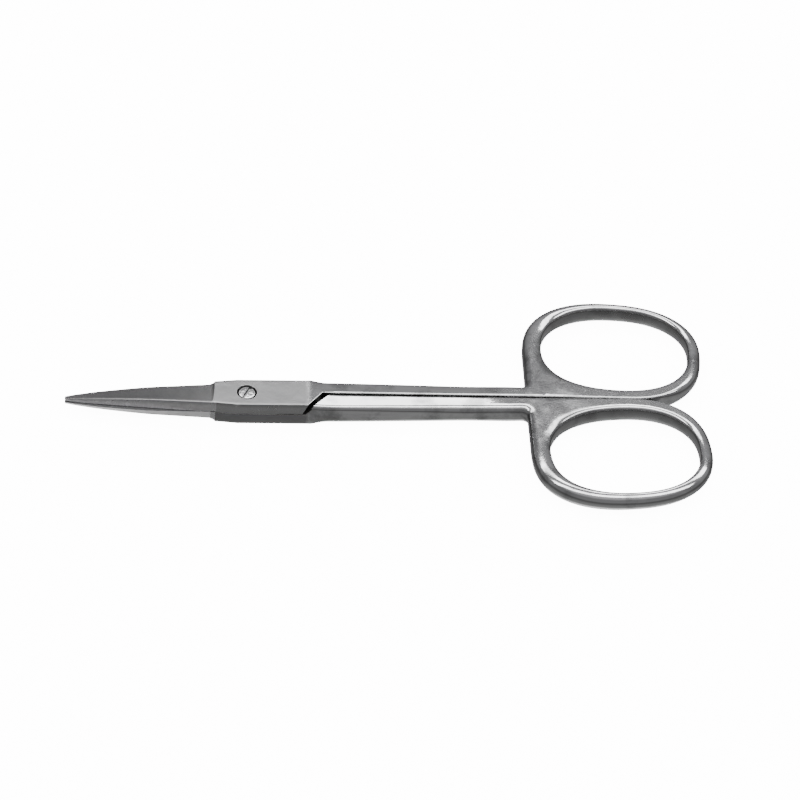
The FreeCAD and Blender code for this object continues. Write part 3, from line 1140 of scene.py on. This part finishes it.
# Places of the half's finishes in its list of steels, and what tells their faces apart
bar_finish, blade_finish, side_finish, inner_finish, gap_finish, wall_finish = range(6)
flat_facing = 0.6
side_facing = 0.35
wall_facing = 0.8
wall_band = 0.12
inner_band = 0.3
gap_reach = 0.9
inner_reach = 1.0
face_margin = 0.01


def assign_steels(mesh, steels):
    """Gives each face the finish that its place on the half has."""
    count = len(mesh.polygons)
    centre = np.empty(count * 3)
    normal = np.empty(count * 3)
    mesh.polygons.foreach_get("center", centre)
    mesh.polygons.foreach_get("normal", normal)
    centre, normal = centre.reshape(-1, 3), normal.reshape(-1, 3)
    x, y, z = centre.T
    along, across, upward = normal.T
    crest = blade_root + step_round
    finish = np.full(count, bar_finish)
    finish[(x < crest) & (np.abs(upward) > flat_facing)] = blade_finish
    finish[(x < crest) & (np.abs(upward) <= flat_facing)] = inner_finish
    near_wall = (across < -side_facing) & (upward < flat_facing) & (z > 0)
    # The joint's near-facing wall takes darker steel as painted shade.
    finish[near_wall & (x > crest) & (x < shoulder_end[0])] = side_finish
    in_gap = (x > shoulder_reach - shoulder_draft) & (x < shoulder_end[0] + gap_reach)
    leaning = (along > side_facing) & (z > 0) | (along < -side_facing) & (z < inner_face)
    inner = (upward < -flat_facing) & (z > -face_margin) & (z < inner_band)
    inner = inner & (x < shoulder_end[0] + inner_reach)
    bore_radius = head_diameter / 2 + head_clearance + face_margin
    bore = (np.hypot(x, y) < bore_radius) & (z < half_thickness - rim_chamfer)
    finish[inner | bore] = inner_finish
    # Faces in the shoulder gap take the near-black steel of painted shade.
    finish[in_gap & (leaning | inner)] = gap_finish
    opening_distance, _ = nearest(centre[:, :2], plan.opening)
    # The openings' inner walls take rougher steel whose darker tone is painted shade.
    finish[(opening_distance < wall_band) & (np.abs(upward) < wall_facing)] = wall_finish
    dress(mesh, steels, [int(i) for i in finish])


def make_halves(steels):
    """Both halves from one form. The lower half is turned half a turn about the long axis."""
    points, faces = half_points()
    form = make_mesh("half", points, faces)
    radius = shaft_diameter / 2 + shaft_clearance
    seat = half_thickness - head_sink - head_height - seat_clearance
    head_radius = head_diameter / 2 + head_clearance
    bore = (
        (0, -overrun), (radius, -overrun), (radius, seat), (head_radius, seat),
        (head_radius, half_thickness - rim_chamfer),
        (head_radius + rim_chamfer, half_thickness),
        (head_radius + rim_chamfer, half_thickness + overrun), (0, half_thickness + overrun))
    radius = shaft_diameter / 2 + thread_clearance
    tapped = (
        (0, -overrun), (radius, -overrun), (radius, half_thickness - end_countersink),
        (radius + end_countersink, half_thickness),
        (radius + end_countersink, half_thickness + overrun), (0, half_thickness + overrun))
    lift = Matrix.Translation((0, 0, half_thickness))
    turned = lift @ Matrix.Rotation(math.pi, 4, "X")
    made = {}
    for name, profile, place in (("upper_half", bore, lift), ("lower_half", tapped, turned)):
        piece = add_piece(name + "_forging", form.copy())
        cut(piece, add_piece("tool", lathe("tool", profile)))
        assign_steels(piece.data, steels)
        piece.data.transform(Matrix.Scale(mm, 4) @ place)
        piece.data.name = name
        made[name] = piece
    return made


def arc_points(centre, radius, start, end, count):
    """Points of an arc between two angles in degrees, as radius and height pairs."""
    turns = [math.radians(between(start, end, i / (count - 1))) for i in range(count)]
    return [(centre[0] + radius * math.cos(turn), centre[1] + radius * math.sin(turn)) for turn in turns]


def make_screw(material):
    """Turned screw with a crowned slotted head and an end filed flush with the lower half."""
    shaft = shaft_diameter / 2
    top = 2 * half_thickness - head_sink
    under = top - head_height
    head = head_diameter / 2
    lip = head - head_top_inset
    crown_start = lip - head_round
    profile = [(0, 0)]
    profile += arc_points((shaft - end_round, end_round), end_round, -90, 0, screw_end_nodes)
    profile += [(shaft, under - head_crown), (shaft, under)]
    profile += arc_points(
        (head - rim_chamfer, under + rim_chamfer), rim_chamfer, -90, 0, screw_seat_nodes)
    profile += arc_points(
        (crown_start, top - head_crown - head_round), head_round, 0, head_round_degrees, screw_rim_nodes)
    for share in crown_shares:
        profile.append((crown_start * share, top - head_crown * share ** 2))
    profile.append((0, top))
    screw = add_piece("pivot_screw_turned", lathe("pivot_screw", profile))
    half = slot_width / 2
    floor = top - slot_depth
    section = [
        (-half, floor + slot_flare), (-half + slot_flare, floor), (half - slot_flare, floor),
        (half, floor + slot_flare), (half, top - slot_flare), (half + slot_flare, top),
        (half + slot_flare, top + overrun), (-half - slot_flare, top + overrun),
        (-half - slot_flare, top), (-half, top - slot_flare)]
    reach = head + overrun
    points = [(end, across, height) for end in (-reach, reach) for across, height in section]
    count = len(section)
    faces = [tuple(range(count)), tuple(range(2 * count - 1, count - 1, -1))]
    faces += [(i, (i + 1) % count, (i + 1) % count + count, i + count) for i in range(count)]
    tool = make_mesh("slot_tool", np.array(points), faces)
    tool.transform(Matrix.Rotation(slot_turn, 4, "Z"))
    cut(screw, add_piece("slot_tool", tool))
    screw.data.transform(Matrix.Scale(mm, 4))
    dress(screw.data, (material,), [0] * len(screw.data.polygons))
    return screw


# Finishes, as settings of the shared steel
# Near-black tone of the painted shade in gaps, slots and hollows
painted_gap_shade_tone = (0.012, 0.011, 0.010, 1)
smudge_size = 260.0
scratch_turn = 0.35
edge_sharpness = 5.0
fine_ripple_share = 0.15
shade_reach = 0.8
satin_roughness = 0.24
satin_border = 0.5
satin_fade_reach = flat_end_reach - 0.9
satin_end_reach = flat_end_reach + 0.2
web_satin_share = 0.4
web_reach = 42.5
web_middle = 5.5
web_narrowing = 0.6
web_core = 1.6
web_fade = 5.6
web_unevenness = 5.0

add_camera()
add_floor()
add_lights()
groups = {
    "grinding": grinding_group(), "handling": handling_group(), "edge": edge_group(),
    "ripple": ripple_group(), "crevice": crevice_group(), "colour": colour_group()}
bar_steel = steel(
    "polished_bar_steel", clean=0.55, dull=0.2, bare=0.8, roughness=0.09,
    line_turn=0.06, line_fineness=5200.0, line_stretch=24.0, line_depth=0.0012,
    ripple_size=430.0, ripple_depth=0.045, edge_width=0.09, smudging=0.6, zone=satin_zone)
blade_steel = steel(
    "ground_blade_steel", clean=0.22, dull=0.16, bare=0.75, roughness=0.3,
    line_turn=1.42, line_fineness=8200.0, line_stretch=36.0, line_depth=0.0022,
    ripple_size=300.0, ripple_depth=0.01, edge_width=0.05, smudging=0.4, shade_open=0.25)
# Darker steel on the joint's near-facing wall only, as painted shade; the far wall keeps the polished
# steel.
side_steel = steel(
    "joint_side_painted_shade_steel", clean=0.36, dull=0.26, bare=0.8, roughness=0.2,
    line_turn=0.0, line_fineness=7000.0, line_stretch=30.0, line_depth=0.0015,
    ripple_size=350.0, ripple_depth=0.015, edge_width=0.07, smudging=0.35, shade_open=0.35)
inner_steel = steel(
    "lapped_inner_steel", clean=0.5, dull=0.36, bare=0.7, roughness=0.28,
    line_turn=1.3, line_fineness=9000.0, line_stretch=30.0, line_depth=0.0018,
    ripple_size=300.0, ripple_depth=0.008, edge_width=0.05, smudging=0.4)
# Its high Open lets the crevice mask paint shade in the slot and round the head.
head_steel = steel(
    "turned_screw_steel", clean=0.52, dull=0.18, bare=0.85, roughness=0.16,
    line_turn=0.6, line_fineness=3200.0, line_stretch=3.0, line_depth=0.012,
    ripple_size=1900.0, ripple_depth=0.05, edge_width=0.07, smudging=0.5, shade_open=0.95)
# Near-black steel on the faces in the shoulder gap, as painted shade.
gap_steel = steel(
    "painted_shade_gap_steel", clean=0.07, dull=0.03, bare=0.3, roughness=0.4,
    line_turn=0.8, line_fineness=6000.0, line_stretch=20.0, line_depth=0.002,
    ripple_size=600.0, ripple_depth=0.01, edge_width=0.05, smudging=0.6, shade_open=0.8)
# Inner walls of the finger openings: a rougher finish, and a darker tone that is painted shade.
wall_steel = steel(
    "opening_wall_painted_shade_steel", clean=0.36, dull=0.22, bare=0.75, roughness=0.2,
    line_turn=0.0, line_fineness=5000.0, line_stretch=16.0, line_depth=0.0015,
    ripple_size=430.0, ripple_depth=0.03, edge_width=0.09, smudging=0.6)

halves = make_halves((bar_steel, blade_steel, side_steel, inner_steel, gap_steel, wall_steel))
screw = make_screw(head_steel)
for piece, body, node, slot in (
        (halves["upper_half"], "upper", "upper_half", "polished_steel"),
        (halves["lower_half"], "lower", "lower_half", "polished_steel"),
        (screw, "lower", "pivot_screw", "screw_steel")):
    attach(piece, body)
    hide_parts(node)
